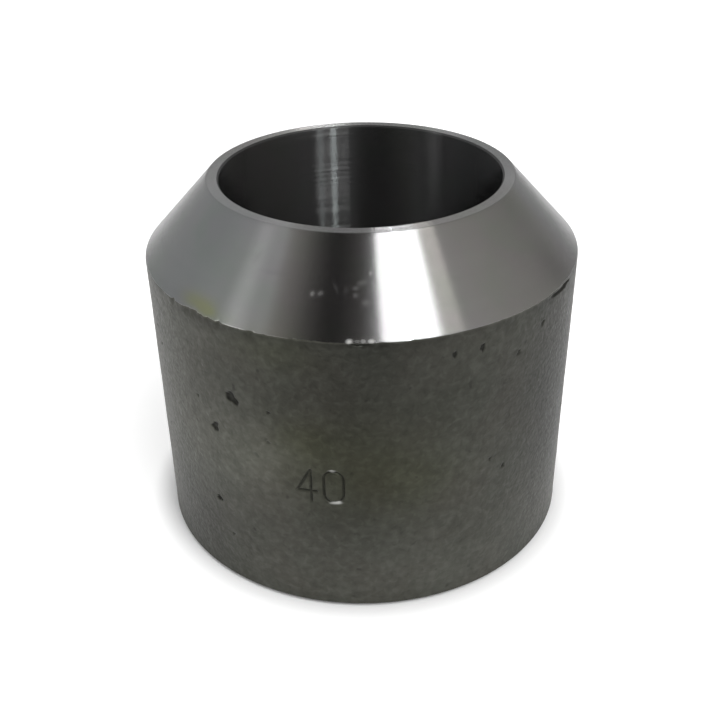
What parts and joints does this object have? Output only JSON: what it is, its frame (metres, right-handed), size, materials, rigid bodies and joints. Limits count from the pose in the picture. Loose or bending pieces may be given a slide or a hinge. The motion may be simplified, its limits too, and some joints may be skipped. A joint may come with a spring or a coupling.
{
  "type": "threaded pipe boss",
  "caption": "Short forged steel pipe boss with a bevelled weld end, a smooth through bore and an internal pipe thread in its other end.",
  "frame": {"origin": "centre of the flat bottom face, which is the threaded end", "axes": "+Z along the bore axis, from the threaded end up to the bevelled weld end; X and Y are alike, because the boss is round, and the size mark faces -Y"},
  "size_m": [0.064, 0.064, 0.0547],
  "materials": {
    "forged_steel": "satin"
  },
  "bodies": {
    "root": {"boss": "forged_steel"}
  },
  "joints": []
}
